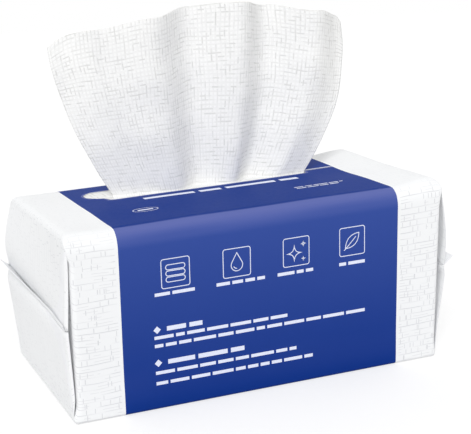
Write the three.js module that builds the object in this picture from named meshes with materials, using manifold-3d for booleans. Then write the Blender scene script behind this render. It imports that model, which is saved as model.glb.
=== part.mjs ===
// Pack of disposable face towels: a gusseted film pack with an open slot in its top, the pile of
// folded towels in it, and one towel standing up through the slot.
// Millimetres. X runs along the pack, Y from its front to its back, Z up from the floor.
import * as THREE from 'three';
import { mergeVertices } from 'three/addons/utils/BufferGeometryUtils.js';
import Module from 'manifold-3d';

const wasm = await Module();
wasm.setup();

// Towels
const towelLength = 200;
const towelWidth = 210;
const towelThickness = 0.6;
const pileHeight = 88.2;
const foldsPerSide = 49;
const foldRounding = 0.55;

// Film and the room that the towels have in it
const filmThickness = 0.5;
const restGap = 0.3;
const endRoom = 0.8;
const sideRoom = 2;
const headRoom = 4.2;
const topEdgeRadius = 8;
const baseEdgeRadius = 2.5;
const endBaseRadius = 2;
const endEdgeRadius = 4.5;
const rightEndRise = 5;

// Print: a blue band round the middle, white film beyond it
const printLength = 151.4;
const printCentre = -0.4;

// Tucked ends with their fin seals, which stand up a little, and the seam folded flat on the underside
const finLevel = 50;
const finLength = 5;
const finRise = 4.5;
const finThickness = 1;
const endBulge = 4.5;
const lowerFlapFullness = 0.45;
const upperFlapFullness = 0.9;
const gussetDepth = 42;
const seamWidth = 12;
const seamGroove = 0.6;
const seamStep = 0.2;

// Slot in the top: a wide window, a narrow end on its left and a slit on its right
const slotLength = 116;
const slotCentre = -1;
const slotFront = 10;
const slotWidth = 32;
const slotCornerRadius = 1.5;
const narrowEndLength = 9;
const narrowEndSetback = 6.5;
const narrowEndWidth = 17;
const slitLength = 18;
const slitWidth = 0.8;
const slitSetback = 4.8;

// The towel that stands up
const standingHeight = 95.5;
const fanLength = 172.5;
const fanCentre = 3.7;
const leftSpreadPower = 1.75;
const rightSpreadPower = 2.3;
const slotClearance = 0.9;
const footSetback = 5.5;
const bendRadius = 2;
const foldSetback = 2;
const waveDepthInSlot = 21;
const waveDepthAtTop = 17;
const waveLeanBack = 3;
// Folds of the fan: where each lies across the sheet, how far it stands back in the slot and at the
// top (0 front, 1 back), and how far the top edge drops there below the fan's full height
const fanFolds = [
  { across: 0, backInSlot: 0.55, backAtTop: 0.75, drop: 10 },
  { across: 0.14, backInSlot: 0.35, backAtTop: 0.42, drop: 7.5 },
  { across: 0.31, backInSlot: 0, backAtTop: 0, drop: 4 },
  { across: 0.455, backInSlot: 0.8, backAtTop: 0.9, drop: 0.5 },
  { across: 0.6, backInSlot: 0.05, backAtTop: 0.05, drop: 0 },
  { across: 0.725, backInSlot: 0.9, backAtTop: 1, drop: 4 },
  { across: 0.865, backInSlot: 0.05, backAtTop: 0.08, drop: 8.5 },
  { across: 1, backInSlot: 0.1, backAtTop: 0.9, drop: 14 },
];

// How finely curves are drawn
const curvePoints = 8;
const cornerSteps = 3;
const foldSteps = 3;
const leafColumns = 2;
const turnSteps = 4;
const bendSteps = 4;
const fanColumns = 52;
const fanRows = 16;

// Points closer than this are one point, and cutters reach this far past what they cut
const mergeDistance = 1e-4;
const cutMargin = 1;

// Sizes that follow from those above
const foldedWidth = towelWidth / 2;
const bodyLength = towelLength + 2 * (endRoom + filmThickness);
const bodyDepth = foldedWidth + 2 * (sideRoom + filmThickness);
const pileBase = filmThickness + restGap;
const pileTop = pileBase + pileHeight;
const bodyHeight = pileTop + headRoom + filmThickness;
const leafPitch = towelThickness + restGap;
const foldRoom = 2 * leafPitch;
const lowestLeaf = pileTop + restGap + towelThickness / 2;
const leafLevels = [0, 1, 2, 3].map((step) => lowestLeaf + step * leafPitch);
const slotLeft = slotCentre - slotLength / 2;
const slotRight = slotCentre + slotLength / 2;
const footLeft = slotLeft + footSetback;
const footRight = slotRight - slotClearance;

// Solids for booleans

function toSolid(geometry) {
  geometry.deleteAttribute('normal');
  geometry.deleteAttribute('uv');
  const merged = mergeVertices(geometry, mergeDistance);
  return new wasm.Manifold(new wasm.Mesh({
    numProp: 3,
    vertProperties: new Float32Array(merged.attributes.position.array),
    triVerts: new Uint32Array(merged.index.array),
  }));
}

function toGeometry(solid) {
  const mesh = solid.getMesh();
  const geometry = new THREE.BufferGeometry();
  geometry.setAttribute('position', new THREE.BufferAttribute(new Float32Array(mesh.vertProperties), 3));
  geometry.setIndex(new THREE.BufferAttribute(new Uint32Array(mesh.triVerts), 1));
  return geometry;
}

function extrude(shape, length, curveSegments) {
  const geometry = new THREE.ExtrudeGeometry(shape, { depth: length, bevelEnabled: false, curveSegments });
  return geometry.translate(0, 0, -length / 2);
}

// A shape drawn in Y and Z, extruded along X
function extrudeAlongX(shape, length, curveSegments) {
  const axes = new THREE.Matrix4().makeBasis(
    new THREE.Vector3(0, 1, 0),
    new THREE.Vector3(0, 0, 1),
    new THREE.Vector3(1, 0, 0),
  );
  return extrude(shape, length, curveSegments).applyMatrix4(axes);
}

// A shape drawn in X and Z, extruded along Y
function extrudeAlongY(shape, length, curveSegments) {
  const axes = new THREE.Matrix4().makeBasis(
    new THREE.Vector3(1, 0, 0),
    new THREE.Vector3(0, 0, 1),
    new THREE.Vector3(0, -1, 0),
  );
  return extrude(shape, length, curveSegments).applyMatrix4(axes);
}

function block(x0, x1, y0, y1, z0, z1) {
  const geometry = new THREE.BoxGeometry(x1 - x0, y1 - y0, z1 - z0);
  return toSolid(geometry.translate((x0 + x1) / 2, (y0 + y1) / 2, (z0 + z1) / 2));
}

// The pack is a little fuller at its right end, so every level rises with X
function lean(geometry) {
  const slope = rightEndRise / (bodyLength * bodyHeight);
  const position = geometry.attributes.position;
  for (let i = 0; i < position.count; i += 1) {
    position.setZ(i, position.getZ(i) * (1 + slope * position.getX(i)));
  }
  return geometry;
}

// Section of the pack across its length, set in by the film where it bounds the room inside
function crossSection(inset) {
  const half = bodyDepth / 2 - inset;
  const base = inset;
  const top = bodyHeight - inset;
  const baseRadius = baseEdgeRadius - inset;
  const topRadius = topEdgeRadius - inset;
  const shape = new THREE.Shape();
  shape.moveTo(-half + baseRadius, base);
  shape.lineTo(half - baseRadius, base);
  shape.absarc(half - baseRadius, base + baseRadius, baseRadius, -Math.PI / 2, 0, false);
  shape.lineTo(half, top - topRadius);
  shape.absarc(half - topRadius, top - topRadius, topRadius, 0, Math.PI / 2, false);
  shape.lineTo(-half + topRadius, top);
  shape.absarc(-half + topRadius, top - topRadius, topRadius, Math.PI / 2, Math.PI, false);
  shape.lineTo(-half, base + baseRadius);
  shape.absarc(-half + baseRadius, base + baseRadius, baseRadius, Math.PI, 1.5 * Math.PI, false);
  return shape;
}

// Right end seen from the front, from the base up: the lower flap swells to the fin, the upper from it
function endOutline(inset, withFin) {
  const wall = bodyLength / 2 - inset;
  const root = wall + endBulge;
  const tipHalf = withFin ? finThickness / 2 : 0;
  const base = inset;
  const top = bodyHeight - inset;
  const baseRadius = endBaseRadius - inset;
  const topRadius = endEdgeRadius - inset;
  const outline = new THREE.Path();
  outline.moveTo(wall - baseRadius, base);
  outline.quadraticCurveTo(wall, base, wall, base + baseRadius);
  const lowerMiddle = (finLevel + base) / 2;
  const upperMiddle = (finLevel + top) / 2;
  outline.quadraticCurveTo(wall + endBulge * lowerFlapFullness, lowerMiddle, root, finLevel - tipHalf);
  if (withFin) {
    outline.lineTo(root + finLength, finLevel + finRise - tipHalf);
    outline.lineTo(root + finLength, finLevel + finRise + tipHalf);
    outline.lineTo(root, finLevel + tipHalf);
  }
  outline.quadraticCurveTo(wall + endBulge * upperFlapFullness, upperMiddle, wall, top - topRadius);
  outline.quadraticCurveTo(wall, top, wall - topRadius, top);
  return outline.getPoints(curvePoints);
}

function lengthSection(inset, withFin) {
  const right = endOutline(inset, withFin);
  const left = right.map((point) => new THREE.Vector2(-point.x, point.y)).reverse();
  return new THREE.Shape([...right, ...left]);
}

// The pack's outside, or the room inside it when set in by the film
function packSolid(inset, withFin) {
  const reach = bodyLength + 2 * (endBulge + finLength + cutMargin);
  const depth = bodyDepth + 2 * cutMargin;
  const across = toSolid(extrudeAlongX(crossSection(inset), reach, curvePoints));
  const along = toSolid(extrudeAlongY(lengthSection(inset, withFin), depth, curvePoints));
  return across.intersect(along);
}

// Space beyond the tucked side panel at one corner: the panel lies in a slant from the pack's corner
// to the fin, so seen from above this space is a wedge that closes at the gusset's depth
function cornerWedge(end, side, inset) {
  const wall = bodyLength / 2 - inset;
  const slope = endBulge / gussetDepth;
  const beyond = wall + endBulge + cutMargin;
  const outer = bodyDepth / 2 + cutMargin;
  const corners = [
    [wall - slope * cutMargin, outer],
    [beyond, outer],
    [beyond, bodyDepth / 2 - gussetDepth - cutMargin / slope],
  ];
  const plan = new THREE.Shape(corners.map(([x, y]) => new THREE.Vector2(end * x, side * y)));
  const wedge = extrude(plan, bodyHeight, 1).translate(0, 0, bodyHeight / 2);
  return toSolid(wedge);
}

function slotWindow(left, right, front, back) {
  const r = Math.min(slotCornerRadius, (right - left) / 3, (back - front) / 3);
  const shape = new THREE.Shape();
  shape.moveTo(left + r, front);
  shape.lineTo(right - r, front);
  shape.absarc(right - r, front + r, r, -Math.PI / 2, 0, false);
  shape.lineTo(right, back - r);
  shape.absarc(right - r, back - r, r, 0, Math.PI / 2, false);
  shape.lineTo(left + r, back);
  shape.absarc(left + r, back - r, r, Math.PI / 2, Math.PI, false);
  shape.lineTo(left, front + r);
  shape.absarc(left + r, front + r, r, Math.PI, 1.5 * Math.PI, false);
  const height = filmThickness + 2 * cutMargin;
  return toSolid(extrude(shape, height, cornerSteps).translate(0, 0, bodyHeight - filmThickness / 2));
}

function slotCutter() {
  const overlap = 3 * slotCornerRadius;
  const narrowFront = slotFront + narrowEndSetback;
  const slitFront = slotFront + slitSetback;
  const wide = slotWindow(slotLeft, slotRight, slotFront, slotFront + slotWidth);
  const narrow = slotWindow(
    slotLeft - narrowEndLength,
    slotLeft + overlap,
    narrowFront,
    narrowFront + narrowEndWidth,
  );
  const slit = slotWindow(slotRight - overlap, slotRight + slitLength, slitFront, slitFront + slitWidth);
  return wide.add(narrow).add(slit);
}

// The seam under the pack is folded flat and pressed flush, so only its two edges step back
function seamCutter() {
  const reach = bodyLength / 2 - 2 * baseEdgeRadius;
  const edge = seamWidth / 2;
  const near = block(-reach, reach, -edge - seamGroove, -edge, -cutMargin, seamStep);
  const far = block(-reach, reach, edge, edge + seamGroove, -cutMargin, seamStep);
  return near.add(far);
}

function filmWrapper() {
  let room = packSolid(filmThickness, false);
  let film = packSolid(0, true);
  const flapDepth = bodyDepth + 4 * cutMargin;
  const betweenFlaps = toSolid(extrudeAlongY(lengthSection(filmThickness, false), flapDepth, curvePoints));
  for (const end of [-1, 1]) {
    for (const side of [-1, 1]) {
      film = film.subtract(cornerWedge(end, side, 0).intersect(betweenFlaps));
      room = room.subtract(cornerWedge(end, side, filmThickness));
    }
  }
  const opened = film.subtract(room).subtract(slotCutter()).subtract(seamCutter());
  return toGeometry(opened);
}

// The interfolded pile: every fold rounds out at the front and the back, the cut ends are flat
function towelStack() {
  const pitch = pileHeight / foldsPerSide;
  const flank = foldedWidth / 2 - foldRounding;
  const shape = new THREE.Shape();
  shape.moveTo(-flank, pileBase);
  shape.lineTo(flank, pileBase);
  for (let fold = 0; fold < foldsPerSide; fold += 1) {
    const z = pileBase + fold * pitch;
    shape.quadraticCurveTo(flank + 2 * foldRounding, z + pitch / 2, flank, z + pitch);
  }
  shape.lineTo(-flank, pileTop);
  for (let fold = 0; fold < foldsPerSide; fold += 1) {
    const z = pileTop - fold * pitch;
    shape.quadraticCurveTo(-flank - 2 * foldRounding, z - pitch / 2, -flank, z - pitch);
  }
  return extrudeAlongX(shape, towelLength, foldSteps);
}

// Largest half length and half depth of the room under the film at a height
function roomAt(z) {
  const top = bodyHeight - filmThickness;
  const limit = (half, radius) => {
    const rise = Math.max(0, z - (top - radius));
    return half - filmThickness - radius + Math.sqrt(radius * radius - rise * rise);
  };
  return {
    halfLength: limit(bodyLength / 2, endEdgeRadius - filmThickness),
    halfDepth: limit(bodyDepth / 2, topEdgeRadius - filmThickness),
  };
}

// A leaf lies as wide as the towel, or as the room lets it where the film rounds over
function leafHalfLength(z) {
  const clear = 2 * restGap;
  return Math.min(towelLength / 2, roomAt(z + towelThickness / 2).halfLength - clear);
}

function foldReach(z) {
  return Math.min(foldedWidth / 2, roomAt(z + towelThickness / 2).halfDepth - 2 * restGap) - foldSetback;
}

// A closed sheet of the towel's thickness round a surface given by rows of points
function sheetGeometry(rows) {
  const rowCount = rows.length;
  const columnCount = rows[0].length;
  const at = (row, column) => {
    const r = THREE.MathUtils.clamp(row, 0, rowCount - 1);
    const c = THREE.MathUtils.clamp(column, 0, columnCount - 1);
    return rows[r][c];
  };
  const faces = [[], []];
  for (let r = 0; r < rowCount; r += 1) {
    for (let c = 0; c < columnCount; c += 1) {
      const across = at(r, c + 1).clone().sub(at(r, c - 1));
      const along = at(r + 1, c).clone().sub(at(r - 1, c));
      const offset = across.cross(along).normalize().multiplyScalar(towelThickness / 2);
      faces[0].push(at(r, c).clone().add(offset));
      faces[1].push(at(r, c).clone().sub(offset));
    }
  }
  const positions = faces.flat().flatMap((point) => point.toArray());
  const under = rowCount * columnCount;
  const index = [];
  const quad = (a, b, c, d) => index.push(a, b, c, a, c, d);
  for (let r = 0; r + 1 < rowCount; r += 1) {
    for (let c = 0; c + 1 < columnCount; c += 1) {
      const a = r * columnCount + c;
      const b = a + columnCount;
      quad(a, a + 1, b + 1, b);
      quad(under + a, under + b, under + b + 1, under + a + 1);
    }
  }
  const rim = (a, b) => quad(b, a, under + a, under + b);
  const last = (rowCount - 1) * columnCount;
  for (let c = 0; c + 1 < columnCount; c += 1) {
    rim(c, c + 1);
    rim(last + c + 1, last + c);
  }
  for (let r = 0; r + 1 < rowCount; r += 1) {
    const a = r * columnCount;
    rim(a + columnCount, a);
    rim(a + columnCount - 1, a + 2 * columnCount - 1);
  }
  const geometry = new THREE.BufferGeometry();
  geometry.setAttribute('position', new THREE.Float32BufferAttribute(positions, 3));
  geometry.setIndex(index);
  return geometry;
}

function fractions(count) {
  return Array.from({ length: count + 1 }, (_, i) => i / count);
}

// Rows of a half turn in Y and Z, from one leaf's level up to another's
function turnRows(columns, y, outward, fromLevel, toLevel, halfLengthAt) {
  const radius = (toLevel - fromLevel) / 2;
  const middle = (toLevel + fromLevel) / 2;
  return fractions(turnSteps).map((share) => {
    const angle = -Math.PI / 2 + Math.PI * share;
    const z = middle + radius * Math.sin(angle);
    const point = (u) => new THREE.Vector3(
      THREE.MathUtils.lerp(-1, 1, u) * halfLengthAt(z),
      y + outward * radius * Math.cos(angle),
      z,
    );
    return columns.map(point);
  });
}

// The towel on top of the pile: its lower leaf on the pile, its fold at the back, and its upper leaf
// reaching forward into the fold of the towel that stands up
function nextTowel() {
  const [low, , high] = leafLevels;
  const columns = fractions(leafColumns);
  const back = foldReach(high);
  const front = -foldReach(leafLevels[3]) + foldRoom;
  const leafEdge = (y, z) => columns.map(
    (u) => new THREE.Vector3(THREE.MathUtils.lerp(-1, 1, u) * leafHalfLength(high), y, z),
  );
  const turn = turnRows(columns, back - leafPitch, 1, low, high, () => leafHalfLength(high));
  return sheetGeometry([leafEdge(-back, low), ...turn, leafEdge(front, high)]);
}

// A value of the fan's folds at a share of its length, eased from each fold to the next
function foldValue(key, u) {
  const after = Math.max(1, fanFolds.findIndex((fold) => fold.across >= u));
  const from = fanFolds[after - 1];
  const to = fanFolds[after];
  const share = (u - from.across) / (to.across - from.across);
  return THREE.MathUtils.lerp(from[key], to[key], (1 - Math.cos(Math.PI * share)) / 2);
}

// A point of the fan, u across the sheet and rise 0 in the slot to 1 at the top edge
function fanPoint(u, rise) {
  const foot = THREE.MathUtils.lerp(footLeft, footRight, u);
  const spread = fanCentre + fanLength * (u - 0.5);
  const spreadPower = THREE.MathUtils.lerp(leftSpreadPower, rightSpreadPower, u);
  const opening = 1 - (1 - rise) ** spreadPower;
  const backInSlot = waveDepthInSlot * foldValue('backInSlot', u);
  const backAtTop = waveDepthAtTop * foldValue('backAtTop', u) + waveLeanBack;
  const base = leafLevels[3] + bendRadius;
  const top = bodyHeight + standingHeight - foldValue('drop', u);
  return new THREE.Vector3(
    THREE.MathUtils.lerp(foot, spread, opening),
    slotFront + slotClearance + THREE.MathUtils.lerp(backInSlot, backAtTop, rise),
    THREE.MathUtils.lerp(base, top, rise),
  );
}

// The towel that stands up: its free end lies in the fold of the next towel, it turns at the front,
// comes back under the film to the slot, bends upward there and fans out
function popUpTowel() {
  const [, low, , high] = leafLevels;
  const columns = fractions(fanColumns);
  const front = -foldReach(high) + leafPitch;
  const hidden = towelWidth - standingHeight - (slotFront - front);
  const freeEdge = Math.min(front + Math.max(hidden, foldRoom), slotFront);
  const halfLength = leafHalfLength(high);
  const free = columns.map((u) => new THREE.Vector3(THREE.MathUtils.lerp(-1, 1, u) * halfLength, freeEdge, low));
  const turn = turnRows(columns, front, -1, low, high, () => halfLength);
  const bendStart = columns.map((u) => {
    const foot = fanPoint(u, 0);
    return new THREE.Vector3(foot.x, foot.y - bendRadius, high);
  });
  const fold = turn[turn.length - 1];
  const middle = bendStart.map((point, c) => fold[c].clone().lerp(point, 0.5));
  const bend = fractions(bendSteps).slice(1).map((share) => {
    const angle = share * Math.PI / 2;
    const step = new THREE.Vector3(0, bendRadius * Math.sin(angle), bendRadius * (1 - Math.cos(angle)));
    return bendStart.map((point) => point.clone().add(step));
  });
  const fan = fractions(fanRows).slice(1).map((rise) => columns.map((u) => fanPoint(u, rise)));
  return sheetGeometry([free, ...turn, middle, bendStart, ...bend, ...fan]);
}

// Splits the triangles that cross the upright plane at x, so that print can end on it
function splitAt(geometry, x) {
  const points = Array.from(geometry.attributes.position.array);
  const beyond = (vertex) => {
    const distance = points[3 * vertex] - x;
    return Math.abs(distance) < mergeDistance ? 0 : distance;
  };
  const cuts = new Map();
  const cutBetween = (a, b) => {
    const [first, second] = a < b ? [a, b] : [b, a];
    const edge = `${first} ${second}`;
    if (!cuts.has(edge)) {
      const share = beyond(first) / (beyond(first) - beyond(second));
      const mix = (axis) => THREE.MathUtils.lerp(points[3 * first + axis], points[3 * second + axis], share);
      cuts.set(edge, points.length / 3);
      points.push(x, mix(1), mix(2));
    }
    return cuts.get(edge);
  };
  const index = [];
  const fill = (corners) => {
    for (let i = 1; i + 1 < corners.length; i += 1) {
      index.push(corners[0], corners[i], corners[i + 1]);
    }
  };
  for (let i = 0; i < geometry.index.count; i += 3) {
    const corners = [i, i + 1, i + 2].map((place) => geometry.index.getX(place));
    const low = [];
    const high = [];
    corners.forEach((corner, place) => {
      const next = corners[(place + 1) % 3];
      if (beyond(corner) <= 0) low.push(corner);
      if (beyond(corner) >= 0) high.push(corner);
      if (beyond(corner) * beyond(next) < 0) {
        low.push(cutBetween(corner, next));
        high.push(cutBetween(corner, next));
      }
    });
    fill(low);
    if (!corners.every((corner) => beyond(corner) === 0)) fill(high);
  }
  const split = new THREE.BufferGeometry();
  split.setAttribute('position', new THREE.Float32BufferAttribute(points, 3));
  split.setIndex(index);
  return split;
}

// The film with its print: bare triangles first, then those of the band round the middle
function printedFilm() {
  const left = printCentre - printLength / 2;
  const right = printCentre + printLength / 2;
  const film = splitAt(splitAt(filmWrapper(), left), right);
  const { position } = film.attributes;
  const bare = [];
  const printed = [];
  for (let i = 0; i < film.index.count; i += 3) {
    const corners = [i, i + 1, i + 2].map((place) => film.index.getX(place));
    const middle = corners.reduce((sum, corner) => sum + position.getX(corner), 0) / 3;
    const kind = middle > left && middle < right ? printed : bare;
    kind.push(...corners);
  }
  film.setIndex([...bare, ...printed]);
  film.addGroup(0, bare.length, 0);
  film.addGroup(bare.length, printed.length, 1);
  return film;
}

function finish(color, roughness) {
  return new THREE.MeshStandardMaterial({ color, roughness, metalness: 0 });
}

function node(name, geometry, material) {
  const plain = lean(geometry);
  plain.deleteAttribute('uv');
  plain.computeVertexNormals();
  const mesh = new THREE.Mesh(plain, material);
  mesh.name = name;
  return mesh;
}

const whiteFilm = finish(0xf1f2f4, 0.4);
const blueFilm = finish(0x2c4694, 0.4);
const towel = finish(0xf4f3f0, 0.95);

const pack = new THREE.Group();
pack.add(
  node('film_wrapper', printedFilm(), [whiteFilm, blueFilm]),
  node('towel_stack', towelStack(), towel),
  node('next_towel', nextTowel(), towel),
  node('pop_up_towel', popUpTowel(), towel),
);

export default pack;
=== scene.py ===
"""Pack of disposable face towels: the finished look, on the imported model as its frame."""
import math
import random

import bmesh
import bpy
import numpy as np
from mathutils import Matrix, Vector


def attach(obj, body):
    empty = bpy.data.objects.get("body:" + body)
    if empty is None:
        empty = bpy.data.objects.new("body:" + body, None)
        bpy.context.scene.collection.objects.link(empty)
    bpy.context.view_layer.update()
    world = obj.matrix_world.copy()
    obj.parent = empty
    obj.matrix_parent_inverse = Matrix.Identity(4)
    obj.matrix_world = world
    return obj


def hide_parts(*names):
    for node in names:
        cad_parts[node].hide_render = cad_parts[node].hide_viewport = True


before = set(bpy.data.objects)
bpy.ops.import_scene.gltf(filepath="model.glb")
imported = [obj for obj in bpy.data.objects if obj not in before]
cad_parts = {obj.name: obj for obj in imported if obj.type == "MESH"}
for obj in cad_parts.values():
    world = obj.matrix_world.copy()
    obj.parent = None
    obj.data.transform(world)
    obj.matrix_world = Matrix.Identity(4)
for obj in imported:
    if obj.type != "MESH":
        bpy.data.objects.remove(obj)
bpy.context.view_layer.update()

MM = 0.001

# Towels, in millimetres, as in the CAD model
TOWEL_LENGTH = 200.0
TOWEL_WIDTH = 210.0
LEAF_THICKNESS = 0.6
PILE_HEIGHT = 88.2

# The pack, in millimetres, as in the CAD model
BODY_LENGTH = 202.6
BODY_DEPTH = 110.0
WALL = 0.5
REST_GAP = 0.3
HEAD_ROOM = 4.2
RIGHT_END_RISE = 5.0
END_EDGE_RADIUS = 4.5
END_BASE_RADIUS = 2.0
FIN_LEVEL = 50.0
FIN_LENGTH = 5.0
FIN_RISE = 4.5
END_BULGE = 4.5
LOWER_FLAP_FULLNESS = 0.45
UPPER_FLAP_FULLNESS = 0.9
GUSSET_DEPTH = 42.0
SEAM_WIDTH = 12.0
PRINT_LEFT, PRINT_RIGHT = -76.1, 75.3

# The slot, as in the CAD model
SLOT_LEFT, SLOT_RIGHT = -59.0, 57.0
SLOT_FRONT, SLOT_BACK = 10.0, 42.0
NARROW_LENGTH = 9.0
NARROW_FRONT, NARROW_BACK = 16.5, 33.5
SLIT_LENGTH = 18.0
SLIT_FRONT, SLIT_BACK = 14.8, 15.6

# The standing towel, as in the CAD model
STANDING_HEIGHT = 95.5
FAN_LENGTH = 172.5
FAN_CENTRE = 3.7
LEFT_SPREAD_POWER = 1.75
RIGHT_SPREAD_POWER = 2.3
SLOT_CLEARANCE = 0.9
BEND_RADIUS = 2.0
WAVE_LEAN_BACK = 3.0
# Folds of the fan: where each lies across the sheet, how far it stands back in the slot and at the top
# (0 front, 1 back), and how far the top edge drops there
FAN_FOLDS = (
    (0.0, 0.55, 0.75, 10.0), (0.14, 0.35, 0.42, 7.5), (0.31, 0.0, 0.0, 4.0), (0.455, 0.8, 0.9, 0.5),
    (0.6, 0.05, 0.05, 0.0), (0.725, 0.9, 1.0, 4.0), (0.865, 0.05, 0.08, 8.5), (1.0, 0.1, 0.9, 14.0),
)

# Sizes that differ a little from the CAD model's, to meet the photograph
TOP_EDGE_RADIUS = 9.5
BASE_EDGE_RADIUS = 1.6
FIN_THICKNESS = 0.6
FOOT_SETBACK = 4.2
WAVE_DEPTH_SHOWN = 13.0
WAVE_DEPTH_AT_TOP = 18.5

# Sizes of the film that only the finished look has, in millimetres
FILM_THICKNESS = 0.2
BASE_LIFT = 0.35
FOLD_START = 6.0
FOLD_RADIUS = 0.7
CORNER_RADIUS = 1.2
POCKET_EDGE_RADIUS = 2.6
LEFT_POCKET_GAP = 1.7
RIGHT_POCKET_GAP = 0.3
SIDE_SETBACK = 0.4
FIN_ROOT_DEPTH = 0.4
FLAP_EDGE_RADIUS = 2.2
LEFT_EDGE_INSET = 1.5
RIGHT_EDGE_INSET = 0.8
RIGHT_END_LEAN = 1.2
SLOT_STEP_BACK = -49.0
PUFF_AT_BACK = 1.3
PUFF_AT_RIGHT_END = 1.6
SIDE_UNEVENNESS = 0.35
TOP_UNEVENNESS = 0.3
FIN_END_INSET = 1.4
FIN_FLAT_WIDTH = 12.0
FIN_EDGE_UNEVENNESS = 0.35
FIN_RISE_UNEVENNESS = 0.4
# How much lower or higher the fin lies at the front and the back of each end
LEFT_FIN_SHIFT = (-2.5, 4.0)
RIGHT_FIN_SHIFT = (-1.5, 0.5)
# How deep the valley along each fin is, and how full the ends are, as shares of the bulge.
# The left end has one fullness at the fin and one 25 mm above it in front, and one at the back
LEFT_FIN_VALLEY = 0.4
RIGHT_FIN_VALLEY = 0.25
LEFT_FRONT_FULLNESS = (0.4, 0.12)
LEFT_BACK_FULLNESS = 1.25
RIGHT_FRONT_FULLNESS = 1.3
# Corners of the slot: place, the way to the slot's middle, how far the film moves, and how wide
SLOT_CORNERS = (
    (SLOT_LEFT - NARROW_LENGTH, NARROW_FRONT, 1, 1, 2.4, 3.4),
    (SLOT_LEFT - NARROW_LENGTH, NARROW_BACK, 1, -1, 2.4, 3.4),
    (SLOT_LEFT, SLOT_FRONT, 1, 1, 1.0, 2.0),
    (SLOT_STEP_BACK, SLOT_BACK, 1, -1, 1.2, 2.2),
    (SLOT_RIGHT, SLOT_FRONT, -1, 1, 0.5, 1.6),
    (SLOT_RIGHT, SLOT_BACK, -1, -1, 1.2, 2.2),
    (SLOT_LEFT, NARROW_FRONT, -1, -1, 0.9, 1.8),
)

# Sizes of the towels that only the finished look has, in millimetres
CLOTH_THICKNESS = 0.45
SLOT_BULGE = 1.3
FRONT_FOLD = -46.7
BACK_FOLD = 47.6
LEAF_HALF_LENGTH = 97.5
PILE_TOWELS = 98
PILE_LEAF_THICKNESS = 0.3
PILE_STRAIGHT = 102.9
PILE_LENGTH = 197.0
PILE_SHIFT = 1.0
PILE_UNEVENNESS = 0.3

# Steps of the film's mesh: the bend along the top, the one along the base, each folded strip beside
# a side, the side between them, and the base
TOP_BEND_STEPS = 8
BASE_BEND_STEPS = 6
STRIP_STEPS = 6
SIDE_STEPS = 24
BASE_STEPS = 24
FILM_STEP = 1.8
MERGE_DISTANCE = 0.0005

# White print, in millimetres. Pictures: kind, place along the front and level
ICONS = (("towels", -48.0, 68.5), ("drop", -16.0, 68.6), ("sparkle", 16.5, 69.2), ("leaf", 48.6, 70.0))
ICON_SIZE = 14.5
ICON_LINE = 0.42
ICON_FILL = 0.68
# Bars in place of words. Captions: left and right. Headings and notes: level and right
CAPTIONS = ((-59, -36), (-27, -1), (6, 26), (41, 56))
CAPTION_LEVEL = 58.7
HEADINGS = ((41.0, -35), (24.0, -11))
HEADING_HEIGHT = 3.2
NOTES = ((37.0, 13), (32.8, 56), (19.0, 16), (13.6, 26))
NOTE_HEIGHT = 2.3
HEADING_LEFT = -53.5
NOTE_LEFT = -60
DIAMOND_PLACE = -58.5
DIAMOND_SIZE = 1.9
# Shortest and longest bar, its thickness and the gap after it, as shares of the height of its line
BAR_LENGTHS = (1.6, 5.5)
BAR_THICKNESS = 0.72
BAR_GAP = 0.55
# Bars on the top: left, right, place across the pack and height
TOP_BARS = ((-54.5, -46.5, -22, 2.4), (-43, 46.5, 1.5, 5.4), (33, 62, -21, 1.6), (33, 58, -24, 1.6))
OVAL_CENTRE = (-50.5, -22.0)
OVAL_HALF_SIZE = (6.5, 3.6)
OVAL_LINE = 0.4
SLIT_LINE = 0.9
PRINT_LIFT = 0.05

# Patterns, in millimetres: lines and ticks of the linen print, threads of the cloth and how long each
# shows at one strength, and ribs of the seals
LINEN_PITCH = 3.1
SHORT_TICK_PITCH = 4.6
LONG_TICK_PITCH = 9.4
THREAD_PITCH = 2.3
THREAD_LENGTH = 3.4
RIB_PITCH = 1.6

# Sizes that follow from those above
PILE_TOP = WALL + REST_GAP + PILE_HEIGHT
BODY_HEIGHT = PILE_TOP + HEAD_ROOM + WALL
LEAF_PITCH = LEAF_THICKNESS + REST_GAP
LEAF_LEVELS = tuple(PILE_TOP + REST_GAP + LEAF_THICKNESS / 2 + step * LEAF_PITCH for step in range(4))
FOOT_LEFT = SLOT_LEFT + FOOT_SETBACK
FOOT_RIGHT = SLOT_RIGHT - SLOT_CLEARANCE
NARROW_LEFT = SLOT_LEFT - NARROW_LENGTH
SLIT_RIGHT = SLOT_RIGHT + SLIT_LENGTH

# Light: strength of the even light, and the key light's strength, direction and apparent width
AMBIENT_LIGHT = 0.74
KEY_STRENGTH = 1.24
KEY_DIRECTION = (-0.54, -0.84, 0.86)
KEY_WIDTH_DEGREES = 20.0

# Floor: half its width in metres, how white it is to the object and to the camera, and its own glow
FLOOR_REACH = 3.0
FLOOR_WHITE = 0.8
FLOOR_WHITE_SEEN = 0.5
FLOOR_GLOW_SEEN = 0.54

# Camera: turn round the object, height and roll in degrees, distance and aim in millimetres,
# the photograph's width and the lens in its pixels, and the sensor's width in millimetres
CAMERA_ANGLES = (-23.81, 13.11, -1.38)
CAMERA_DISTANCE = 594.2
CAMERA_AIM = (8.0, 0.0, 77.1)
PHOTO_WIDTH_PIXELS = 471
LENS_PIXELS = 1103.8
SENSOR_WIDTH = 36.0


def lean(points):
    """The pack is fuller at its right end, so every level rises with X."""
    slope = RIGHT_END_RISE / (BODY_LENGTH * BODY_HEIGHT)
    leaned = points.copy()
    leaned[..., 2] *= 1 + slope * points[..., 0]
    return leaned


def smooth(t):
    """0 to 1 with flat ends."""
    t = np.clip(t, 0.0, 1.0)
    return t * t * (3 - 2 * t)


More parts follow.
